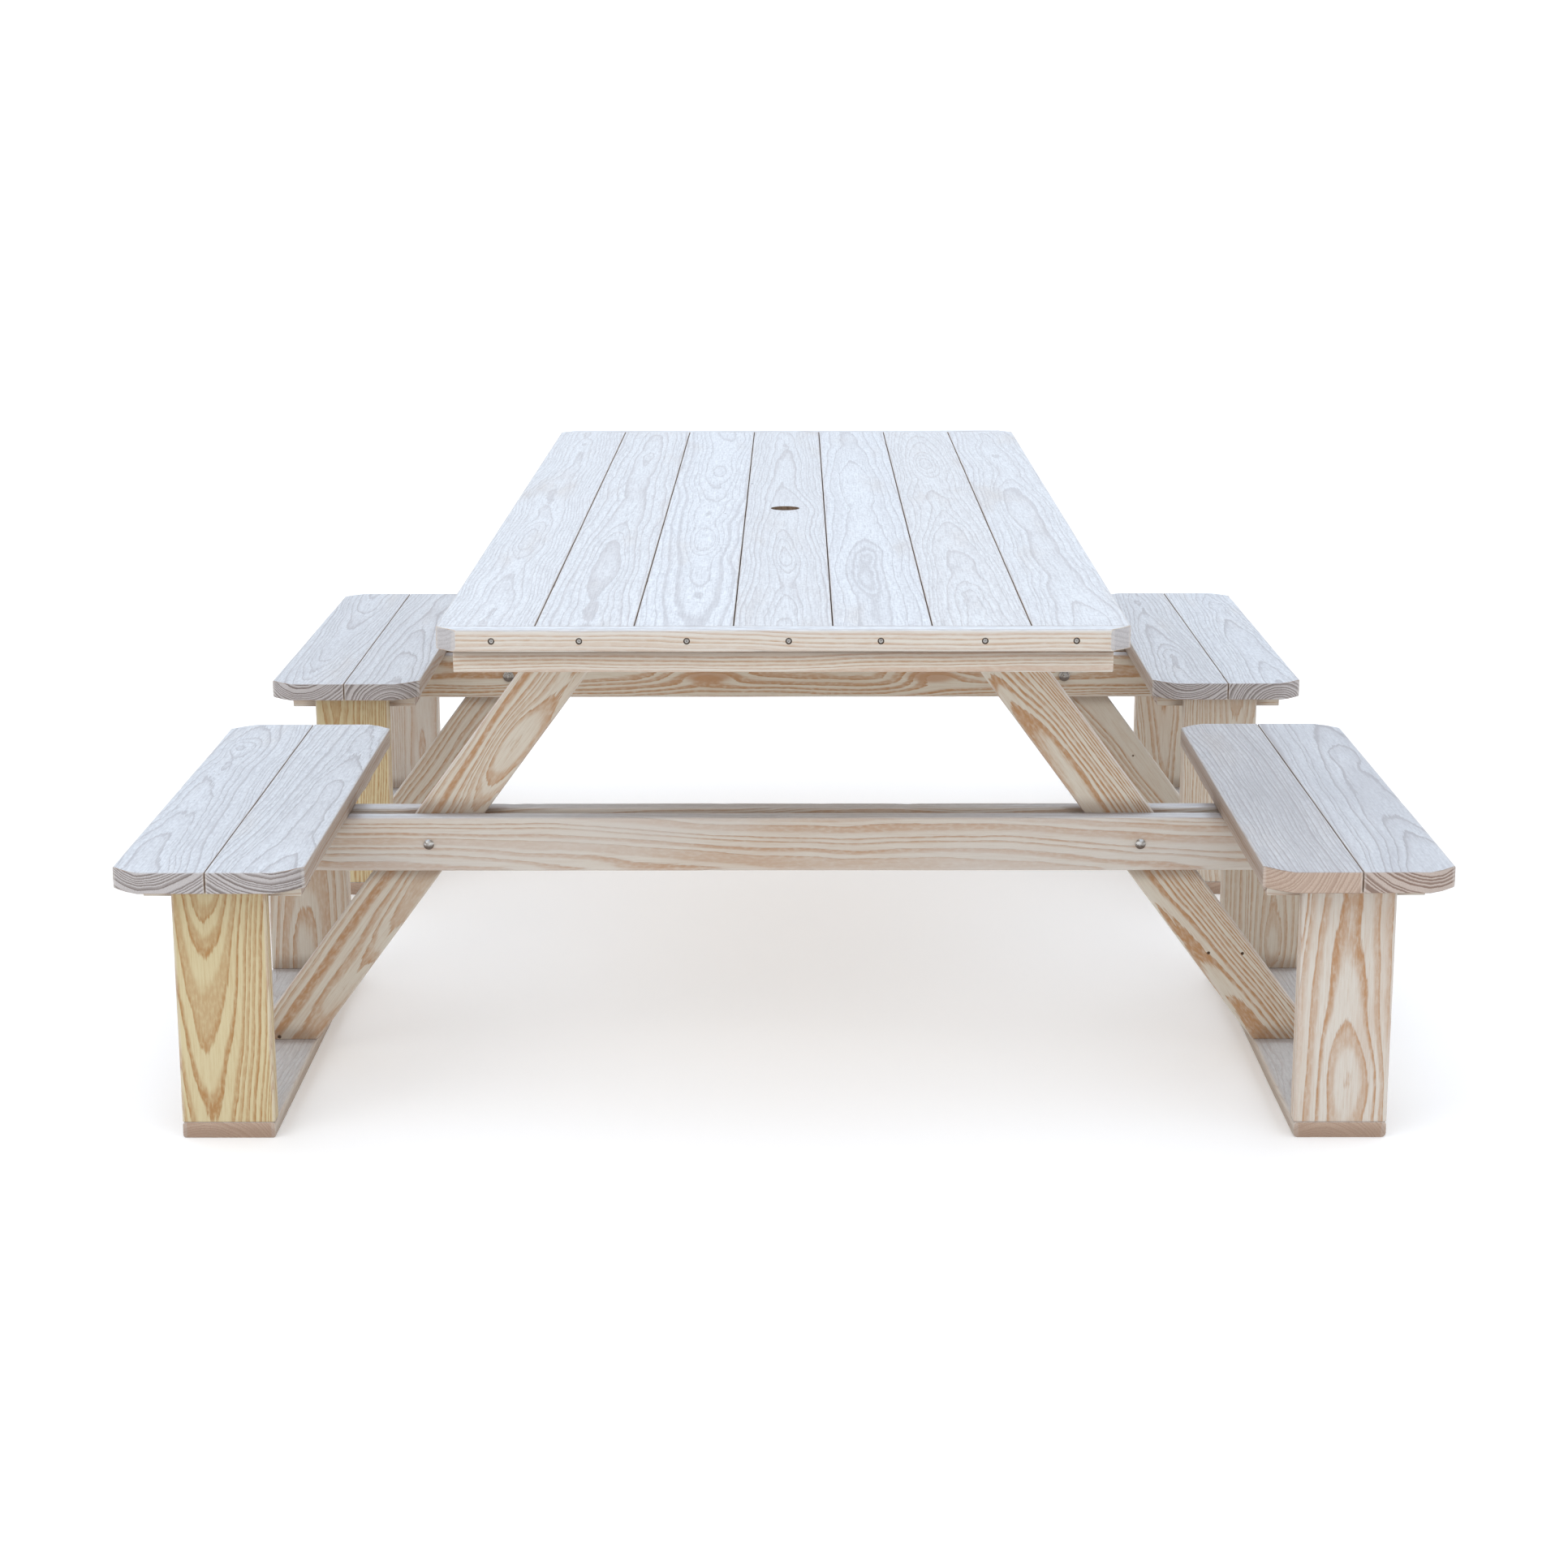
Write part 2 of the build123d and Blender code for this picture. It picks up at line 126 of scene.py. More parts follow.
class NodeTree:
    """An emptied node tree, with a method for each kind of node that it needs."""

    def __init__(self, owner):
        owner.use_nodes = True
        self.tree = owner.node_tree
        self.tree.nodes.clear()

    def add(self, kind):
        return self.tree.nodes.new(kind)

    def link(self, source, socket):
        self.tree.links.new(source, socket)

    def feed(self, socket, value):
        """Set a socket to a number or a colour, or link another node's output to it."""
        if isinstance(value, (int, float)):
            socket.default_value = value
        elif isinstance(value, tuple):
            socket.default_value = (*value, 1)
        else:
            self.link(value, socket)

    def attribute(self, name, output="Vector"):
        node = self.add("ShaderNodeAttribute")
        node.attribute_name = name
        return node.outputs[output]

    def math(self, operation, a, b=0.0, c=0.0):
        node = self.add("ShaderNodeMath")
        node.operation = operation
        for socket, value in zip(node.inputs, (a, b, c)):
            self.feed(socket, value)
        return node.outputs[0]

    def vector(self, x, y, z=0.0):
        node = self.add("ShaderNodeCombineXYZ")
        for socket, value in zip(node.inputs, (x, y, z)):
            self.feed(socket, value)
        return node.outputs[0]

    def split(self, vector):
        node = self.add("ShaderNodeSeparateXYZ")
        self.link(vector, node.inputs[0])
        return node.outputs

    def noise(self, vector, scales, detail=2.0, rough=0.5):
        """Smooth noise, mostly from -1 to 1, with so many lumps in a metre each way."""
        stretch = self.add("ShaderNodeVectorMath")
        stretch.operation = "MULTIPLY"
        self.link(vector, stretch.inputs[0])
        stretch.inputs[1].default_value = scales
        node = self.add("ShaderNodeTexNoise")
        node.inputs["Scale"].default_value = 1.0
        node.inputs["Detail"].default_value = detail
        node.inputs["Roughness"].default_value = rough
        self.link(stretch.outputs[0], node.inputs["Vector"])
        return self.math("MULTIPLY_ADD", node.outputs[0], 4.0, -2.0)

    def ramp(self, value, low, high, to_low=0.0, to_high=1.0):
        """A smooth step from to_low to to_high while the value goes from low to high."""
        node = self.add("ShaderNodeMapRange")
        node.interpolation_type = "SMOOTHSTEP"
        numbers = (value, low, high, to_low, to_high)
        for name, number in zip(("Value", "From Min", "From Max", "To Min", "To Max"), numbers):
            self.feed(node.inputs[name], number)
        return node.outputs[0]

    def mix(self, factor, a, b):
        node = self.add("ShaderNodeMix")
        node.data_type = "RGBA"
        colour_a, colour_b = (socket for socket in node.inputs if socket.type == "RGBA")
        self.feed(node.inputs["Factor"], factor)
        self.feed(colour_a, a)
        self.feed(colour_b, b)
        return next(socket for socket in node.outputs if socket.type == "RGBA")


class Shader(NodeTree):
    """A material with one principled surface."""

    def __init__(self, name):
        self.material = bpy.data.materials.new(name)
        super().__init__(self.material)
        output = self.add("ShaderNodeOutputMaterial")
        self.surface = self.add("ShaderNodeBsdfPrincipled")
        self.link(self.surface.outputs["BSDF"], output.inputs["Surface"])

    def bump(self, height, strength, distance):
        node = self.add("ShaderNodeBump")
        node.inputs["Strength"].default_value = strength
        node.inputs["Distance"].default_value = distance
        self.link(height, node.inputs["Height"])
        self.link(node.outputs[0], self.surface.inputs["Normal"])


def seen(red, green, blue):
    """The surface colour that shows as these 0 to 255 screen steps in this light."""
    return tuple(((c / 255 + 0.055) / 1.055) ** 2.4 / LIGHT for c in (red, green, blue))


# The surfaces

# A sawn face: its early wood, its late wood, its eyes, and what grey patches turn to
PALE = seen(219, 211, 200)
PALE_YELLOW = seen(214, 198, 155)
LATE = seen(186, 143, 105)
LATE_YELLOW = seen(174, 127, 72)
HEART = seen(186, 142, 106)
GREYED = seen(214, 207, 200)

# Whatever faces up: bleached by the sun, and painted paler and bluer as if lit by the sky
PALED_AND_SKY_LIT = seen(243, 246, 249)
PALED_AND_SKY_LIT_LATE = seen(186, 182, 184)
PALED_AND_SKY_LIT_WARM = seen(222, 214, 206)
DULLED = seen(186, 186, 190)

# End grain, dirt and painted shade, and a hole's wall painted dark as shade
END_PALE = seen(196, 191, 190)
END_LATE = seen(126, 118, 114)
END_WARM = seen(200, 173, 151)
END_WARM_LATE = seen(152, 118, 96)
DIRT_AND_SHADE = seen(132, 104, 84)
HOLE_SHADE = seen(150, 124, 100)
HOLE_SHADE_DARK = seen(112, 90, 70)

# Zinc plate, and the brown of its grime and painted shade
ZINC_BRIGHT = seen(228, 228, 226)
ZINC_DULL = seen(176, 170, 162)
GRIME_AND_SHADE = seen(92, 72, 56)

# Lumps in a metre: along the grain, across it and through it
FIBRES = (16.0, 420.0, 420.0)
PATCHES = (2.6, 13.0, 13.0)
SPECKS = (85.0, 230.0, 230.0)
PORES = (700.0, 700.0, 700.0)

# How the rings waver: such lumps, and their height
RING_WAVES = (
    ((2.1, 6.0, 6.0), 0.0062),
    ((9.0, 45.0, 45.0), 0.0009),
    ((40.0, 420.0, 420.0), 0.0004),
)
PITH_WAVE = ((1.7, 0.6, 0.6), 0.010)  # and how the pith does, from side to side


def growth_rings(s):
    """The late wood of each ring, its hard outer line, and how far an eye lifts a point.

    A point's distance from the pith, in ring spacings, says which ring it is in and how
    far through that year. White noise on the ring's number makes some years' late wood
    begin sooner and lie darker.
    """
    grain = s.attribute("grain")
    _, across, through = s.split(grain)
    swell, spacing, number = s.split(s.attribute("log"))
    number = s.math("ROUND", number)
    wide, high, lift = s.split(s.attribute("eye"))
    bend, reach = PITH_WAVE
    across = s.math("MULTIPLY_ADD", s.noise(grain, bend, 1.0), reach, across)
    squares = s.math("ADD", s.math("POWER", across, 2.0), s.math("POWER", through, 2.0))
    radius = s.math("ADD", swell, s.math("SQRT", squares))
    for scales, height in RING_WAVES:
        radius = s.math("MULTIPLY_ADD", s.noise(grain, scales, 2.0), height, radius)
    spread = s.math("ADD", s.math("POWER", wide, 2.0), s.math("POWER", high, 2.0))
    eye = s.math("MULTIPLY", s.math("EXPONENT", s.math("MULTIPLY", spread, -1.0)), lift)
    radius = s.math("ADD", radius, eye)
    unevenness = s.noise(s.vector(radius, number), (55.0, 0.7, 1.0), 1.0)
    rings = s.math("ADD", unevenness, s.math("DIVIDE", radius, spacing))
    place = s.math("FRACT", rings)
    white = s.add("ShaderNodeTexWhiteNoise")
    white.noise_dimensions = "2D"
    s.link(s.vector(s.math("FLOOR", rings), number), white.inputs["Vector"])
    own = white.outputs["Value"]
    begins = s.math("MULTIPLY_ADD", own, 0.3, 0.2)
    full = s.math("ADD", begins, 0.3)
    late = s.math("MULTIPLY", s.ramp(place, begins, full), s.ramp(place, 0.92, 1.0, 1.0, 0.0))
    late = s.math("MULTIPLY", late, s.math("MULTIPLY_ADD", own, 0.4, 0.6))
    line = s.math("MULTIPLY", s.ramp(place, 0.74, 0.9), s.ramp(place, 0.93, 1.0, 1.0, 0.0))
    return grain, late, line, eye


def sawn_end(s, grain, late, line, patch):
    """End grain: bold rings, open pores and a few drying checks that run from the pith."""
    grey, contrast, _ = s.split(s.attribute("end"))
    pale = s.mix(grey, END_WARM, END_PALE)
    dark = s.mix(grey, END_WARM_LATE, END_LATE)
    pores = s.noise(grain, PORES, 2.0)
    band = s.math("MULTIPLY", s.math("MULTIPLY_ADD", line, 0.5, late), contrast)
    colour = s.mix(band, pale, dark)
    colour = s.mix(s.ramp(pores, -0.3, 1.4, 0.0, 0.5), colour, dark)
    colour = s.mix(s.ramp(patch, 0.0, 1.5, 0.0, 0.4), colour, pale)
    _, across, through = s.split(grain)
    turn = s.math("ARCTAN2", through, across)
    checks_round, checks_patch = 26.0, 0.1
    check = s.noise(s.vector(turn, patch), (checks_round, checks_patch, 1.0), 1.0)
    colour = s.mix(s.ramp(check, 1.05, 1.3, 0.0, 0.7), colour, DIRT_AND_SHADE)
    return colour, s.math("MULTIPLY_ADD", pores, 0.6, late)


def sawn_face(s, late, line, eye, fibre, patch, speck):
    """Fresh pine, yellow or pink-brown, with darker rings and eyes and some greyed patches."""
    yellow, grey, contrast = s.split(s.attribute("tone"))
    pale = s.mix(yellow, PALE, PALE_YELLOW)
    dark = s.mix(yellow, LATE, LATE_YELLOW)
    blush = s.math("MULTIPLY", s.ramp(patch, 0.0, 1.5, 0.0, 0.5), s.math("SUBTRACT", 1.0, yellow))
    pale = s.mix(s.math("MAXIMUM", blush, s.ramp(eye, 0.006, 0.012, 0.0, 0.8)), pale, HEART)
    ring = s.math("MULTIPLY_ADD", line, 0.3, s.math("MULTIPLY", late, 0.75))
    colour = s.mix(s.math("MULTIPLY", ring, contrast), pale, dark)
    colour = s.mix(s.ramp(fibre, -0.5, 1.5, 0.0, 0.5), colour, dark)
    colour = s.mix(s.ramp(speck, -0.6, 1.4, 0.0, 0.55), colour, pale)
    greying = s.math("MULTIPLY", s.ramp(patch, 0.8, -1.2, 0.2, 0.9), grey)
    colour = s.mix(greying, colour, GREYED)
    # Painted shade: the end table's third value darkens the sawn faces of the seat boards, whose
    # sides lie in shade
    colour = s.mix(s.split(s.attribute("end"))[2], colour, DIRT_AND_SHADE)
    return colour, s.math("MULTIPLY_ADD", fibre, 0.3, s.math("ADD", late, line))


def paled_and_sky_lit(s, colour, late, line, fibre, patch, speck):
    """The sun's bleaching and a painted sky light and sheen on whatever faces up, in thin grey
    lines along the grain.
    """
    _, grey, contrast = s.split(s.attribute("tone"))
    up = s.split(s.add("ShaderNodeNewGeometry").outputs["Normal"])[2]
    # Painted light: faces that point up are paler and bluer, as if lit by the sky, as well as
    # bleached
    pale_and_sky_light = s.ramp(s.math("MULTIPLY_ADD", patch, 0.06, up), 0.4, 0.93, 0.0, 0.9)
    top_sky_lit = s.mix(s.ramp(patch, 0.1, 1.5, 0.0, 0.75), PALED_AND_SKY_LIT, PALED_AND_SKY_LIT_WARM)
    trace = s.math("ADD", s.math("MULTIPLY", late, 0.15), s.math("MULTIPLY", line, 0.5))
    top_sky_lit = s.mix(s.math("MULTIPLY", trace, contrast), top_sky_lit, PALED_AND_SKY_LIT_LATE)
    top_sky_lit = s.mix(s.ramp(fibre, -0.4, 1.3, 0.0, 0.6), top_sky_lit, PALED_AND_SKY_LIT_LATE)
    top_sky_lit = s.mix(s.ramp(speck, -0.8, 1.2, 0.0, 0.45), top_sky_lit, DULLED)
    top_sky_lit = s.mix(s.math("MULTIPLY", s.ramp(patch, 1.2, -1.2, 0.2, 0.7), grey), top_sky_lit, DULLED)
    return s.mix(s.math("MULTIPLY", pale_and_sky_light, s.attribute("pale_and_sky_light", "Fac")), colour, top_sky_lit)


def wood(name, end_grain):
    """Pine with painted shade and dirt in its crevices, worn pale on its eased edges."""
    s = Shader(name)
    grain, late, line, eye = growth_rings(s)
    fibre = s.noise(grain, FIBRES, 3.0, 0.7)
    patch = s.noise(grain, PATCHES, 3.0, 0.55)
    speck = s.noise(grain, SPECKS, 2.0)
    if end_grain:
        colour, height = sawn_end(s, grain, late, line, patch)
    else:
        colour, height = sawn_face(s, late, line, eye, fibre, patch, speck)
    colour = paled_and_sky_lit(s, colour, late, line, fibre, patch, speck)
    # Worn edges turn pale, toward the warm colour of the bleached and painted sky-lit top
    colour = s.mix(s.math("MULTIPLY", s.attribute("wear", "Fac"), 0.3), colour, PALED_AND_SKY_LIT_WARM)
    # Painted shade, with some dirt: darker where another surface is near, in crevices, joints and
    # under overhangs
    crevice = s.add("ShaderNodeAmbientOcclusion")
    crevice.samples = 4
    crevice.inputs["Distance"].default_value = CREVICE
    colour = s.mix(s.ramp(crevice.outputs["AO"], 1.0, 0.7, 0.0, 0.45), colour, DIRT_AND_SHADE)
    s.feed(s.surface.inputs["Base Color"], colour)
    s.feed(s.surface.inputs["Roughness"], s.ramp(fibre, -1.0, 1.0, 0.55, 0.75))
    s.surface.inputs["Specular IOR Level"].default_value = 0.3
    s.bump(height, strength=0.45, distance=0.0007)
    return s.material


def hole_shade_wood():
    """The wall of a hole or a screw's pocket, painted dark brown as shade, with drill marks."""
    s = Shader("hole_shade_pine")
    place = s.add("ShaderNodeTexCoord").outputs["Object"]
    drill_marks = s.noise(place, (90.0, 90.0, 1400.0), 2.0)
    blot = s.noise(place, (160.0, 160.0, 160.0), 3.0)
    colour = s.mix(s.ramp(blot, -1.0, 1.0), HOLE_SHADE, HOLE_SHADE_DARK)
    s.feed(s.surface.inputs["Base Color"], colour)
    s.feed(s.surface.inputs["Roughness"], s.ramp(blot, -1.0, 1.0, 0.75, 0.9))
    s.bump(drill_marks, strength=0.4, distance=0.0004)
    return s.material


def zinc():
    """Bright where rain washes it; painted shade and grime brown its rims, lower halves and
    undersides.
    """
    s = Shader("zinc_plate")
    place = s.add("ShaderNodeTexCoord").outputs["Object"]
    cloud = s.noise(place, (260.0, 260.0, 260.0), 3.0)
    scratch = s.noise(place, (2600.0, 500.0, 500.0), 2.0)
    up = s.split(s.add("ShaderNodeNewGeometry").outputs["Normal"])[2]
    # Painted shade, with patches of grime: faces that point down are darker
    shade_and_grime = s.ramp(s.math("MULTIPLY_ADD", cloud, 0.25, up), 0.15, -0.35, 0.0, 0.92)
    plate = s.mix(s.ramp(cloud, -1.2, 1.2), ZINC_BRIGHT, ZINC_DULL)
    # Painted shade round a sunk screw head's rim, and painted shade and a dark reflection on the
    # lower half of a bolt head, nut or washer
    shade_and_grime = s.math("MAXIMUM", shade_and_grime, s.ramp(s.attribute("shade_and_dirt", "Fac"), 0.55, 0.85, 0.0, 0.85))
    s.feed(s.surface.inputs["Base Color"], s.mix(shade_and_grime, plate, GRIME_AND_SHADE))
    s.feed(s.surface.inputs["Metallic"], s.ramp(shade_and_grime, 0.2, 0.8, 0.9, 0.2))
    s.feed(s.surface.inputs["Roughness"], s.ramp(cloud, -1.2, 1.2, 0.18, 0.42))
    s.bump(scratch, strength=0.12, distance=0.0002)
    return s.material


WOODS = (wood("pine", end_grain=False), wood("pine_end_grain", end_grain=True), hole_shade_wood())
FACE, END, HOLE = range(len(WOODS))
ZINC = zinc()


# How each board lay in its log

# Yellowness, greyness, contrast and how far the sun bleached it and painted sky light paled its
# top, by a part of the board's name; the first that fits counts
TONES = {
    "bench_front_left_leg_front": (1.0, 0.0, 1.1, 1.0),
    "bench_front_left_leg_back": (0.1, 0.0, 0.9, 1.0),
    "bench_back_left_leg_front": (0.95, 0.05, 1.0, 1.0),
    "bench_back_left_leg": (0.1, 0.3, 0.8, 1.0),
    "bench_front_right_leg_front": (0.05, 0.0, 1.15, 1.0),
    "bench_front_right_seat": (0.0, 0.9, 1.5, 0.95),
    "seat": (0.0, 0.4, 1.15, 1.0),
    "runner": (0.1, 0.5, 0.6, 0.75),
    "top_plank": (0.0, 0.1, 0.7, 1.0),
    "top_trim": (0.15, 0.1, 0.75, 1.0),
    "top_rail": (0.3, 0.4, 1.5, 1.0),
    "crossbeam_front": (0.05, 0.9, 1.2, 1.0),
    "crossbeam_back": (0.2, 0.1, 1.6, 1.0),
    "sloping_leg_front_left": (0.2, 0.1, 1.0, 1.0),
    "sloping_leg_front_right": (0.15, 0.0, 1.7, 1.0),
    "sloping_leg": (0.15, 0.0, 1.0, 1.0),
    "": (0.2, 0.1, 0.9, 1.0),
}

# The end grain's greyness and contrast, in the same way, and the painted shade on the board's
# sawn faces
ENDS = {
    "bench_front_right_seat_inner": (0.15, 0.4, 0.7),
    "bench_front_right_seat_outer": (0.45, 1.4, 0.6),
    "seat": (0.9, 1.0, 0.55),
    "top_trim": (1.0, 0.15, 0.0),
    "runner": (0.05, 0.3, 0.0),
    "": (0.4, 0.8, 0.0),
}

# How each log grew, for the boards whose ends or faces show most: where the pith lay from
# the board's middle, across and through it; how much the log thickened along the board;
# the spacing of its rings; and where along it the board was sawn. The others are drawn at
# random.
LOGS = {
    "bench_front_left_seat_outer": (0.028, 0.13, 0.022, 0.005, 3.0),
    "bench_front_left_seat_inner": (-0.042, 0.14, 0.022, 0.005, 5.0),
    "bench_front_right_seat_outer": (-0.035, 0.12, 0.022, 0.007, 7.0),
    "bench_front_right_seat_inner": (0.1, 0.07, 0.008, 0.0056, 9.0),
    "bench_front_left_leg_front": (-0.018, 0.045, -0.055, 0.0066, 12.0),
    "bench_front_right_leg_front": (0.004, 0.06, 0.03, 0.0085, 17.0),
    "bench_back_left_leg_front": (-0.035, 0.05, -0.03, 0.0042, 15.0),
    "bench_front_left_leg_back": (0.0, 0.05, 0.022, 0.0085, 27.0),
    "sloping_leg_front_left": (0.03, 0.055, -0.022, 0.0062, 33.0),
    "crossbeam_front_outer": (-0.055, 0.085, 0.026, 0.0082, 17.0),
    "crossbeam_back_inner": (0.01, 0.05, 0.022, 0.0062, 22.0),
    "top_plank_1": (0.005, 0.06, 0.01, 0.0055, 6.0),
    "top_plank_2": (0.0, 0.07, 0.012, 0.0075, 8.0),
    "top_plank_3": (-0.01, 0.075, -0.014, 0.0075, 10.0),
    "top_plank_4": (0.0, 0.06, 0.016, 0.0065, 14.0),
    "top_plank_5": (0.01, 0.08, 0.012, 0.011, 18.0),
    "top_plank_6": (0.0, 0.07, 0.022, 0.006, 25.0),
    "top_plank_7": (-0.01, 0.065, 0.014, 0.007, 29.0),
    "top_rail_front": (0.03, 0.16, 0.006, 0.0058, 21.0),
    "top_trim_front": (0.03, 0.1, -0.012, 0.0062, 23.0),
}

# Eyes, where the rings close round a bulge: their places along the board and across it,
# their length and width from the middle, and how far the bulge lifts the rings
EYES = {
    "sloping_leg_front_left": ((0.16,), 0.01, 0.09, 0.032, -0.014),
    "bench_front_right_leg_front": ((-0.118,), 0.03, 0.06, 0.045, -0.006),
    "crossbeam_back_inner": ((-0.16, 0.3), 0.0, 0.07, 0.02, 0.0145),
    "top_plank_1": ((-0.35,), 0.01, 0.16, 0.022, -0.012),
    "top_plank_2": ((-0.55, 0.8), 0.0, 0.35, 0.035, -0.014),
    "top_plank_3": ((-0.4, 0.5), -0.01, 0.16, 0.03, -0.012),
    "top_plank_4": ((-0.45,), 0.0, 0.3, 0.03, -0.012),
    "top_plank_5": ((-0.7, 0.4), 0.01, 0.3, 0.045, -0.01),
    "top_plank_6": ((0.65,), 0.005, 0.2, 0.032, -0.018),
    "top_plank_7": ((0.0,), 0.02, 0.25, 0.03, -0.012),
}


def by_name(table, name):
    """The first value whose key is a part of the name."""
    return next(value for part, value in table.items() if part in name)


def log_of(name, size, rng):
    """What is known or drawn of a board's log; every draw is made, whatever is known."""
    length, width, _ = size
    through = rng.choice((-1, 1)) * rng.uniform(0.035, 0.085)
    taper = rng.choice((-1, 1)) * rng.uniform(0.018, 0.03)
    drawn = (rng.uniform(-0.04, 0.04), through, taper, rng.uniform(0.0045, 0.0065))
    drawn += (rng.uniform(1, 40),)
    eye = ((rng.uniform(-0.4, 0.4) * length,), rng.uniform(-0.3, 0.3) * width)
    eye += (rng.uniform(0.05, 0.12), rng.uniform(0.02, 0.04), rng.uniform(-0.008, 0.005))
    tone = [max(0.0, value + rng.uniform(-0.08, 0.08)) for value in by_name(TONES, name)]
    return {
        "log": LOGS.get(name, drawn),
        "eye": EYES.get(name, eye),
        "tone": tone[:3],
        "pale_and_sky_light": tone[3],
        "end": by_name(ENDS, name),
        "number": float(rng.randrange(1, 1000)),
    }


def mark_grain(mesh, to_board, marks):
    """Write where each point lies in the log, and what sets its board apart."""
    pith_across, pith_through, taper, spacing, start = marks["log"]
    eyes, eye_across, eye_length, eye_width, lift = marks["eye"]
    vectors = {"grain": [], "log": [], "eye": [], "tone": [], "end": []}
    for vert in mesh.vertices:
        along, across, through = to_board @ vert.co
        vectors["grain"] += [along + start, across - pith_across, through - pith_through]
        vectors["log"] += [taper * along, spacing, marks["number"]]
        from_eye = min(abs(along - eye) for eye in eyes)
        vectors["eye"] += [from_eye / eye_length, (across - eye_across) / eye_width, lift]
        vectors["tone"] += marks["tone"]
        vectors["end"] += marks["end"]
    for name, values in vectors.items():
        attribute = mesh.attributes.new(name, "FLOAT_VECTOR", "POINT")
        attribute.data.foreach_set("vector", values)
    attribute = mesh.attributes.new("pale_and_sky_light", "FLOAT", "POINT")
    attribute.data.foreach_set("value", [marks["pale_and_sky_light"]] * len(mesh.vertices))


# Places in the CAD meshes

NEAR_RIM = 0.98  # of a fastener's radius, beyond which only its head's rim lies
POINT_DIGITS = 5  # to which two faces' points agree where they meet
FOOT_SPARE = 0.0001  # how far above a node's floor a point of its foot may lie


class Fastener:
    """One solid of a CAD fastener node: where its head meets the wood, and which way it runs."""

    def __init__(self, points):
        low = Vector(min(p[i] for p in points) for i in range(3))
        high = Vector(max(p[i] for p in points) for i in range(3))
        extent = high - low
        k = max(range(3), key=lambda i: extent[i])
        middle = (low + high) / 2

        def from_axis(p):
            return math.hypot(*(p[i] - middle[i] for i in range(3) if i != k))

        self.radius = max(from_axis(p) for p in points)
        rim = [p[k] for p in points if from_axis(p) > self.radius * NEAR_RIM]
        head_is_low = sum(rim) / len(rim) < middle[k]
        self.inwards = Vector((0, 0, 0))
        self.inwards[k] = 1 if head_is_low else -1
        self.head = middle.copy()
        self.head[k] = min(rim) if head_is_low else max(rim)
        self.length = abs((high[k] if head_is_low else low[k]) - self.head[k])

    def matrix(self, spin):
        """From a fastener that stands head up at the origin to this one's place."""
        turn = (-self.inwards).to_track_quat("Z", "Y").to_matrix().to_4x4()
        return Matrix.Translation(self.head) @ turn @ Matrix.Rotation(spin, 4, "Z")


def fasteners_of(node):
    """A place for each separate solid in a node, found by joining points that share a face."""
    mesh = nodes[node].data
    keys = [tuple(round(c, POINT_DIGITS) for c in vert.co) for vert in mesh.vertices]
    parent = {key: key for key in keys}

    def root(key):
        while parent[key] != key:
            parent[key] = parent[parent[key]]
            key = parent[key]
        return key

    for edge in mesh.edges:
        a, b = (root(keys[i]) for i in edge.vertices)
        parent[a] = b
    solids = {}
    for key in sorted(parent):
        solids.setdefault(root(key), []).append(key)
    return [Fastener(points) for _, points in sorted(solids.items())]


SCREW_NODES = ("trim_screws", "board_screws", "runner_screws", "long_screws")
BOLT_NODES = ("beam_bolts", "cleat_bolts")
FASTENERS = {node: fasteners_of(node) for node in SCREW_NODES + BOLT_NODES}


# Holes


def rod(matrix, radius, low, high):
    """Points and faces of a closed rod along a matrix's Z."""
    points = [
        matrix @ Vector((radius * math.cos(turn), radius * math.sin(turn), z))
        for z in (low, high)
        for turn in (math.tau * i / ROUND for i in range(ROUND))
    ]
    faces = [(i, (i + 1) % ROUND, ROUND + (i + 1) % ROUND, ROUND + i) for i in range(ROUND)]
    faces += [tuple(range(ROUND))[::-1], tuple(range(ROUND, 2 * ROUND))]
    return points, faces


def cut(piece, rods):
    """Subtract the rods from a board, whose new faces get the painted shade of a hole's wall."""
    points, faces = [], []
    for more_points, more_faces in rods:
        faces += [tuple(i + len(points) for i in face) for face in more_faces]
        points += more_points
    mesh = bpy.data.meshes.new("rods")
    mesh.from_pydata(points, [], faces)
    for material in WOODS:
        mesh.materials.append(material)
    mesh.polygons.foreach_set("material_index", [HOLE] * len(faces))
    cutter = bpy.data.objects.new("rods", mesh)
    bpy.context.scene.collection.objects.link(cutter)
    modifier = piece.modifiers.new("holes", "BOOLEAN")
    modifier.object = cutter
    modifier.operation = "DIFFERENCE"
    modifier.solver = "MANIFOLD"
    graph = bpy.context.evaluated_depsgraph_get()
    piece.data = bpy.data.meshes.new_from_object(piece.evaluated_get(graph))
    piece.modifiers.clear()
    bpy.data.objects.remove(cutter)


def pockets_in(node):
    """A rod for each screw head that lies in this board, from outside it to under the head."""
    rods = []
    low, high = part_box(node)
    for screw in (screw for kind in SCREW_NODES for screw in FASTENERS[kind]):
        inside = screw.head + screw.inwards * UNDER_FACE
        if not all(a <= p <= b for a, p, b in zip(low, inside, high)):
            continue
        reach = max((corner - screw.head).dot(-screw.inwards) for corner in (low, high))
        bottom = -HEAD_SINK - screw.radius
        rods.append(rod(screw.matrix(0), screw.radius + POCKET_SPARE, bottom, reach + OVERSHOOT))
    return rods


def umbrella_rods():
    """A rod through the planks and the batten, as wide as the record says."""
    mount = next(m for m in frame["record"]["mounts"] if m["name"] == "umbrella_hole")
    radius = mount["dims"]["r_mm"] / 1000
    under, over = 0.5, 1.0  # heights well clear of the batten and of the top
    return [rod(Matrix.Identity(4), radius, under, over)]


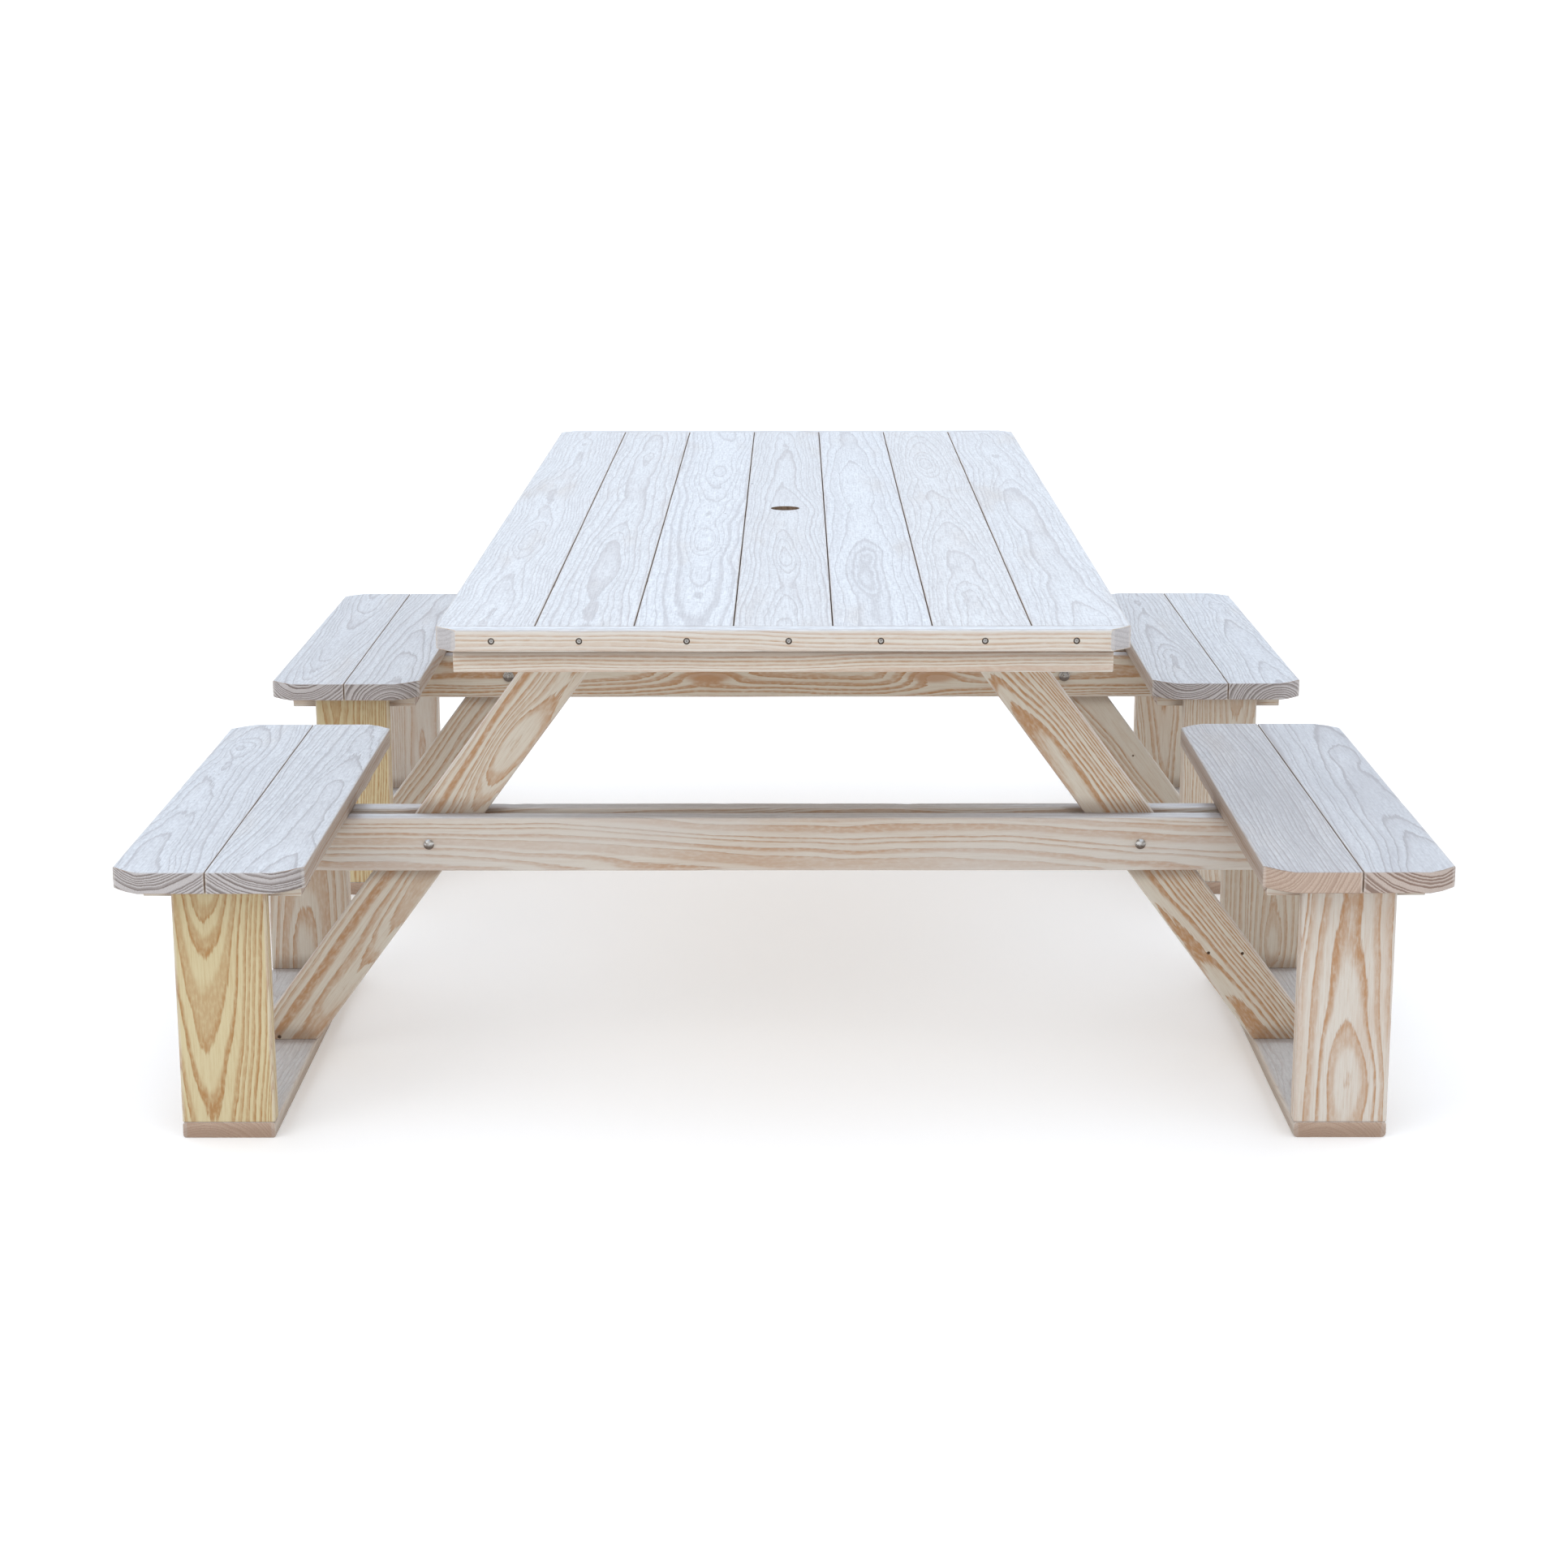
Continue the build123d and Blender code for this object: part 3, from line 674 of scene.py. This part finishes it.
# Small holes that nails and pitch left: their places on a board's face, which way they go
# in, and their radius
NAIL_HOLES = {
    "sloping_leg_front_right": [
        ((0.689, -0.694, 0.172), Y, 0.0026),
        ((0.744, -0.694, 0.171), Y, 0.0026),
    ],
    "sloping_leg_front_left": [((-0.828, -0.694, 0.0295), Y, 0.003)],
    "sloping_leg_back_right": [((0.7185, 0.662, 0.188), Y, 0.0022)],
    "top_plank_1": [((-0.3733, 0.2856, 0.8), -Z, 0.002)],
    "top_plank_4": [((-0.0638, 0.3288, 0.8), -Z, 0.0025)],
    "top_plank_3": [((-0.107, -0.064, 0.8), -Z, 0.0018)],
}
NAIL_HOLE_DEPTH = 0.004


def nail_holes_in(node):
    """A rod for each small hole in this board."""
    rods = []
    for place, inwards, radius in NAIL_HOLES.get(node, []):
        turn = (-inwards).to_track_quat("Z", "Y").to_matrix().to_4x4()
        rods.append(rod(Matrix.Translation(place) @ turn, radius, -NAIL_HOLE_DEPTH, OVERSHOOT))
    return rods


# Board meshes


def half_section(width, thick, eases):
    """Points (w, t, wear) from a section's left middle over its top to its right middle."""
    left, right = eases
    points = [(-width / 2, 0.0, 0.0)]
    for i in range(ARC_STEPS + 1):
        turn = math.pi / 2 * i / ARC_STEPS
        w = -width / 2 + left * (1 - math.cos(turn))
        points.append((w, thick / 2 - left * (1 - math.sin(turn)), 1.0))
    inner_low = -width / 2 + left + EDGE_BAND
    inner_high = width / 2 - right - EDGE_BAND
    count = max(1, round(width / FACE_STEP))
    for i in range(count + 1):
        points.append((inner_low + (inner_high - inner_low) * i / count, thick / 2, 0.0))
    for i in range(ARC_STEPS + 1):
        turn = math.pi / 2 * (1 - i / ARC_STEPS)
        w = width / 2 - right * (1 - math.cos(turn))
        points.append((w, thick / 2 - right * (1 - math.sin(turn)), 1.0))
    points.append((width / 2, 0.0, 0.0))
    return points


def waver(place, lumps, seed, row):
    """Smooth noise along a board, with so many lumps in a metre; rows differ from each other."""
    return noise.noise(Vector((place * lumps, seed, row)))


def uneven(ease, place, seed):
    """The rounding of an edge, which wanders along the board and has a few dents."""
    dent = max(0.0, waver(place, 31, seed, 5.7) - 0.4)
    return ease * (0.85 + 0.35 * waver(place, 7, seed, 0.3) + 2.5 * dent)


def square_ends(length):
    """Where a board starts and stops, at any distance across it."""
    return lambda w: -length / 2, lambda w: length / 2


def make_board(name, place, size, ends=None, eases=(EDGE_EASE, EDGE_EASE)):
    """A board in its own frame, whose X is along the grain, Y across and Z through it.

    place is the matrix from that frame to the row's; ends are two functions that give
    where the board starts and stops at a distance w across it; eases are the roundings of
    its edges on the low and the high side of w.
    """
    length, width, thick = size
    start, stop = ends or square_ends(length)
    rng = random.Random(name)
    seed = rng.uniform(0, 100)
    count = max(4, round(length / SECTION_STEP))
    inset = END_EASE / length
    stations = [0.0, inset] + [i / count for i in range(1, count)] + [1 - inset, 1.0]
    verts, wear = [], []
    for station in stations:
        at = (station - 0.5) * length
        shrink = END_EASE if station in (0.0, 1.0) else 0.0
        pinch = SIDE_WANDER * (0.5 + 0.5 * waver(at, 2.3, seed, 9.1))
        upper, lower = (
            half_section(width, thick, [uneven(ease, at, seed + row + ease) for ease in eases])
            for row in (0, 10)
        )
        section = upper + [(w, -t, worn) for w, t, worn in lower[-2:0:-1]]
        for w, t, worn in section:
            w *= 1 - 2 * (shrink + pinch) / width
            t *= 1 - 2 * shrink / thick
            low, high = start(w), stop(w)
            verts.append((low + (high - low) * station, w, t))
            wear.append(worn)
    ring = len(section)
    sides = []
    for base in range(0, len(verts) - ring, ring):
        for i in range(ring):
            j = (i + 1) % ring
            sides.append((base + i, base + ring + i, base + ring + j, base + j))
    caps = end_faces(ring, 0) + [face[::-1] for face in end_faces(ring, len(verts) - ring)]
    mesh = bpy.data.meshes.new(name)
    mesh.from_pydata(verts, [], sides + caps)
    for material in WOODS:
        mesh.materials.append(material)
    mesh.polygons.foreach_set("material_index", [FACE] * len(sides) + [END] * len(caps))
    mesh.attributes.new("wear", "FLOAT", "POINT").data.foreach_set("value", wear)
    mesh.transform(place)
    piece = bpy.data.objects.new(f"visual_{name}", mesh)
    bpy.context.scene.collection.objects.link(piece)
    rods = pockets_in(name) + nail_holes_in(name)
    if name in ("top_plank_4", "umbrella_batten"):
        rods += umbrella_rods()
    if rods:
        cut(piece, rods)
    mark_grain(piece.data, place.inverted(), log_of(name, size, rng))
    piece.data.shade_smooth()
    piece.data.set_sharp_from_angle(angle=BOARD_SHARP)
    declare(piece, "pine", name)


def end_faces(ring, first):
    """Faces across an end, between matching points of the section's two halves."""
    faces = []
    for i in range(ring // 2):
        under, next_under = (ring - i) % ring, ring - i - 1
        corners = [i, i + 1, next_under, under]
        if i == 0 or i == ring // 2 - 1:
            corners = sorted(set(corners), key=corners.index)
        faces.append(tuple(first + corner for corner in corners))
    return faces


def declare(piece, slot, *replaced):
    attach(piece, "root")
    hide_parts(*replaced)


def lie_along(node, grain, across):
    """The matrix and size of a board that fills a node's box, its grain along an axis."""
    low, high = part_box(node)
    extent = high - low
    through = grain.cross(across)
    place = Matrix((grain, across, through)).transposed().to_4x4()
    place.translation = (low + high) / 2
    return place, tuple(abs(extent.dot(axis)) for axis in (grain, across, through))


def clipped_ends(size, clip, side):
    """Square ends with the two corners on one side clipped at 45 degrees."""
    length, width, _ = size

    def clipped(w):
        return max(0.0, clip - (width / 2 - side * w))

    return lambda w: clipped(w) - length / 2, lambda w: length / 2 - clipped(w)


def make_plank(node):
    """A plank of the top, which has tight seams on both sides."""
    make_board(node, *lie_along(node, Y, -X), eases=(SEAM_EASE, SEAM_EASE))


def make_trim(node):
    """A trim piece, with clipped and well-rounded corners on its outer side."""
    place, size = lie_along(node, X, Y)
    outer = -1 if node.endswith("front") else 1
    eases = (2 * EDGE_EASE, SEAM_EASE) if outer < 0 else (SEAM_EASE, 2 * EDGE_EASE)
    make_board(node, place, size, clipped_ends(size, size[1], outer), eases)


def make_seat_board(node):
    """A seat board, with clipped corners on the side where its neighbour isn't."""
    place, size = lie_along(node, Y, -X)
    free_side = (1 if "left" in node else -1) * (1 if node.endswith("outer") else -1)
    eases = (EDGE_EASE, SEAM_EASE) if free_side < 0 else (SEAM_EASE, EDGE_EASE)
    make_board(node, place, size, clipped_ends(size, SEAT_CLIP, free_side), eases)


def make_sloping_leg(node):
    """Its ends are cut level, so in its own frame they slope across it."""
    low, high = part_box(node)
    foot_low, foot_high = foot_of(node, low.z)
    side = -1 if node.endswith("left") else 1
    foot_width = foot_high - foot_low
    rise, run = high.z - low.z, high.x - low.x - foot_width
    lean = math.atan2(run, rise)
    grain = Vector((-side * math.sin(lean), 0, math.cos(lean)))
    across = Vector((math.cos(lean), 0, side * math.sin(lean)))
    place = Matrix((grain, across, grain.cross(across))).transposed().to_4x4()
    place.translation = (low + high) / 2
    length, width = rise / math.cos(lean), foot_width * math.cos(lean)
    slope = -side * math.tan(lean)
    ends = (lambda w: slope * w - length / 2, lambda w: slope * w + length / 2)
    make_board(node, place, (length, width, high.y - low.y), ends)


def foot_of(node, floor):
    """The lowest and highest X of a node's points at its own floor."""
    verts = nodes[node].data.vertices
    xs = [vert.co.x for vert in verts if vert.co.z < floor + FOOT_SPARE]
    return min(xs), max(xs)


for node in sorted(nodes):
    if node.startswith("top_plank"):
        make_plank(node)
    elif node.startswith("top_trim"):
        make_trim(node)
    elif node.startswith("sloping_leg"):
        make_sloping_leg(node)
    elif node.startswith("crossbeam"):
        make_board(node, *lie_along(node, X, Z), eases=(BEAM_EASE, BEAM_EASE))
    elif node.startswith("top_cleat"):
        make_board(node, *lie_along(node, X, Z))
    elif node.startswith("top_rail"):
        make_board(node, *lie_along(node, X, Y), eases=(BEAM_EASE, BEAM_EASE))
    elif node == "umbrella_batten" or "_cleat_" in node:
        make_board(node, *lie_along(node, X, Y))
    elif "_seat_" in node:
        make_seat_board(node)
    elif node.endswith("_runner"):
        make_board(node, *lie_along(node, Y, -X), eases=(BEAM_EASE, BEAM_EASE))
    elif "_leg_" in node:
        make_board(node, *lie_along(node, Z, X))


# Fastener meshes


def lathe(profile, waves=()):
    """A closed solid turned about Z from (radius, z) points, which go from axis to axis.

    waves maps an index in the profile to a function of the turn that scales its radius.
    """
    waves = dict(waves)
    points = [Vector((0, 0, profile[0][1]))]
    for k, (radius, z) in enumerate(profile[1:-1], start=1):
        for i in range(ROUND):
            turn = math.tau * i / ROUND
            r = radius * waves.get(k, lambda _: 1.0)(turn)
            points.append(Vector((r * math.cos(turn), r * math.sin(turn), z)))
    points.append(Vector((0, 0, profile[-1][1])))
    last = len(points) - 1
    faces = [(0, 1 + i, 1 + (i + 1) % ROUND) for i in range(ROUND)]
    for k in range(len(profile) - 3):
        base = 1 + k * ROUND
        for i in range(ROUND):
            j = (i + 1) % ROUND
            faces.append((base + i, base + ROUND + i, base + ROUND + j, base + j))
    base = last - ROUND
    faces += [(last, base + (i + 1) % ROUND, base + i) for i in range(ROUND)]
    return points, faces


def cross_slot(turn):
    """Four narrow arms."""
    return 0.4 + 0.6 * abs(math.cos(2 * turn)) ** 6


def hexagon(turn):
    """Flats, as a part of the corners' reach."""
    return math.cos(math.pi / 6) / math.cos(turn % (math.pi / 3) - math.pi / 6)


def screw_shape(radius, length, head_depth):
    """A screw with a cross recess in its head, a threaded shank and a point."""
    recess, point = 0.0016, 0.004
    profile = [(0, -recess), (radius * 0.3, -recess), (radius * 0.52, -0.0002)]
    profile += [(radius * 0.56, 0.0), (radius * 0.94, -0.0001), (radius, -0.0004)]
    profile += [(SCREW_SHANK * 1.05, -head_depth)]
    z = -head_depth - SCREW_PLAIN
    while z > 1.5 * point - length:
        profile += [(SCREW_SHANK * 0.72, z), (SCREW_SHANK, z - SCREW_PITCH / 2)]
        z -= SCREW_PITCH
    profile += [(SCREW_SHANK * 0.6, point - length), (0, -length)]
    return lathe(profile, {1: cross_slot, 2: cross_slot})


def bolt_shape(radius, length):
    """A carriage bolt: a low dome and a long shank, threaded at its end."""
    profile = [(0, BOLT_HEAD)]
    curve = (radius**2 + BOLT_HEAD**2) / (2 * BOLT_HEAD)
    steps = 7
    for i in range(1, steps):
        r = radius * i / steps
        profile.append((r, BOLT_HEAD - curve + math.sqrt(curve**2 - r**2)))
    profile += [(radius, 0.0), (radius, -0.0001), (BOLT_SHANK, -0.0002)]
    profile += [(BOLT_SHANK, BOLT_THREAD - length)]
    rise = 0.0006  # from a thread's root to its crest
    z = BOLT_THREAD - length - rise
    while z > 2 * rise - length:
        profile += [(BOLT_SHANK * 0.86, z), (BOLT_SHANK, z - rise)]
        z -= BOLT_PITCH
    profile += [(BOLT_SHANK * 0.8, -length), (0, -length)]
    return lathe(profile)


def nut_shape(low, high):
    """A hexagon nut with its corners turned off, round a bolt's end."""
    corner = NUT_FLAT / math.cos(math.pi / 6)

    def rounded(turn):
        return min(hexagon(turn), NUT_CORNER)

    outline = [(BORE, low), (corner, low), (corner, low + NUT_CHAMFER)]
    outline += [(corner, high - NUT_CHAMFER), (corner, high), (BORE, high)]
    waves = {1: rounded, 2: hexagon, 3: hexagon, 4: rounded}
    return ring_of(outline, waves)


def washer_shape(low, high):
    """A flat washer with eased rims."""
    outline = [(BORE, low), (WASHER_RIM - WASHER_EASE, low), (WASHER_RIM, low + WASHER_EASE)]
    outline += [(WASHER_RIM, high - WASHER_EASE), (WASHER_RIM - WASHER_EASE, high), (BORE, high)]
    return ring_of(outline, {})


def ring_of(outline, waves):
    """A closed ring turned about Z from an outline of (radius, z) points, low side first."""
    points = []
    for k, (radius, z) in enumerate(outline):
        for i in range(ROUND):
            turn = math.tau * i / ROUND
            r = radius * waves.get(k, lambda _: 1.0)(turn)
            points.append(Vector((r * math.cos(turn), r * math.sin(turn), z)))
    faces = []
    for k in range(len(outline)):
        base, following = k * ROUND, (k + 1) % len(outline) * ROUND
        for i in range(ROUND):
            j = (i + 1) % ROUND
            faces.append((base + i, base + j, following + j, following + i))
    return points, faces


def set_out(name, shapes, *replaced):
    """One piece of many shapes, each given as a matrix and its points and faces.

    Painted shade, with some dirt, darkens the rim of a screw's sunk head, and painted shade and
    a painted dark reflection darken the lower half of a nut, a washer or a bolt's head, so
    each point gets an amount of it, from 0 to about 1.
    """
    points, faces, shade_and_dirt = [], [], []
    sunk = "screws" in name
    for matrix, (shape_points, shape_faces) in shapes:
        faces += [tuple(i + len(points) for i in face) for face in shape_faces]
        points += [matrix @ point for point in shape_points]
        rim = max(math.hypot(x, y) for x, y, _ in shape_points)
        # Painted shade: toward a sunk head's rim, or toward the lower side of a head, nut or
        # washer
        if sunk:
            shade_and_dirt += [math.hypot(x, y) / rim for x, y, _ in shape_points]
        else:
            turn = matrix.to_3x3()
            heights = [(turn @ Vector((x, y, 0))).z / rim for x, y, _ in shape_points]
            shade_and_dirt += [(UNDER_SHADE - height) / 2 for height in heights]
    mesh = bpy.data.meshes.new(name)
    mesh.from_pydata(points, [], faces)
    mesh.materials.append(ZINC)
    mesh.attributes.new("shade_and_dirt", "FLOAT", "POINT").data.foreach_set("value", shade_and_dirt)
    mesh.shade_smooth()
    mesh.set_sharp_from_angle(angle=STEEL_SHARP)
    piece = bpy.data.objects.new(f"visual_{name}", mesh)
    bpy.context.scene.collection.objects.link(piece)
    declare(piece, "steel", *replaced)


def make_fasteners():
    """Every screw, bolt, nut and washer, each kind as one piece, turned at random."""
    rng = random.Random("spin")
    for kind in SCREW_NODES:
        shapes = []
        for screw in FASTENERS[kind]:
            radius = screw.radius * (TRIM_HEAD if kind == "trim_screws" else SCREW_HEAD)
            shape = screw_shape(radius, screw.length - HEAD_SINK, radius)
            sunk = Matrix.Translation(screw.inwards * HEAD_SINK)
            shapes.append((sunk @ screw.matrix(rng.uniform(0, math.tau)), shape))
        set_out(kind, shapes, kind)
    nuts, rings = [], []
    for kind in BOLT_NODES:
        shapes = []
        for bolt in FASTENERS[kind]:
            matrix = bolt.matrix(rng.uniform(0, math.tau))
            shapes.append((matrix, bolt_shape(bolt.radius, bolt.length)))
            nut_low = BOLT_END - bolt.length
            nut_high = nut_low + NUT_HEIGHT
            nuts.append((matrix, nut_shape(nut_low, nut_high)))
            rings.append((matrix, washer_shape(nut_high, nut_high + WASHER)))
        set_out(kind, shapes, kind)
    set_out("bolt_nuts", nuts, "bolt_nuts")
    set_out("bolt_washers", rings, "bolt_washers")


make_fasteners()


# Floor, light and camera


def add_floor():
    """A plain pale floor at the table's feet."""
    half = FLOOR_HALF
    mesh = bpy.data.meshes.new("floor")
    corners = [(-half, -half, 0), (half, -half, 0), (half, half, 0), (-half, half, 0)]
    mesh.from_pydata(corners, [], [(0, 1, 2, 3)])
    floor = bpy.data.objects.new("floor", mesh)
    bpy.context.scene.collection.objects.link(floor)
    s = Shader("floor")
    s.surface.inputs["Base Color"].default_value = (*FLOOR, 1)
    s.surface.inputs["Roughness"].default_value = 0.95
    s.surface.inputs["Specular IOR Level"].default_value = 0.0
    s.surface.inputs["Emission Color"].default_value = (*WHITE, 1)
    s.surface.inputs["Emission Strength"].default_value = FLOOR_GLOW
    mesh.materials.append(s.material)


def light_sky():
    """White near the horizon and cooler overhead."""
    world = bpy.data.worlds.new("sky")
    bpy.context.scene.world = world
    s = NodeTree(world)
    output = s.add("ShaderNodeOutputWorld")
    sky = s.add("ShaderNodeBackground")
    height = s.split(s.add("ShaderNodeTexCoord").outputs["Generated"])[2]
    s.link(s.mix(s.ramp(height, SKY_LOW, SKY_HIGH), WHITE, OVERHEAD), sky.inputs["Color"])
    sky.inputs["Strength"].default_value = LIGHT
    s.link(sky.outputs[0], output.inputs["Surface"])


def add_key_light():
    """A large soft light from the front left, which models the boards' edges."""
    data = bpy.data.lights.new("key", "AREA")
    data.shape = "DISK"
    data.size = KEY_SIZE
    data.energy = KEY_WATTS
    data.color = KEY_COLOUR
    light = bpy.data.objects.new("key", data)
    bpy.context.scene.collection.objects.link(light)
    light.location = KEY_PLACE
    aim = Vector(KEY_AIM) - light.location
    light.rotation_euler = aim.to_track_quat("-Z", "Y").to_euler()


def add_camera():
    """The photo's angle: down a little, from just right of the middle."""
    data = bpy.data.cameras.new("camera")
    camera = bpy.data.objects.new("camera", data)
    bpy.context.scene.collection.objects.link(camera)
    data.sensor_width = SENSOR
    data.lens = LENS
    turn = Matrix.Rotation(-CAMERA_YAW, 4, "Z")
    turn = turn @ Matrix.Rotation(math.pi / 2 - CAMERA_DOWN, 4, "X")
    turn = turn @ Matrix.Rotation(-CAMERA_ROLL, 4, "Z")
    camera.matrix_world = Matrix.Translation(CAMERA_PLACE) @ turn
    bpy.context.scene.camera = camera


add_floor()
light_sky()
add_key_light()
add_camera()
bpy.context.scene.view_settings.view_transform = "Standard"
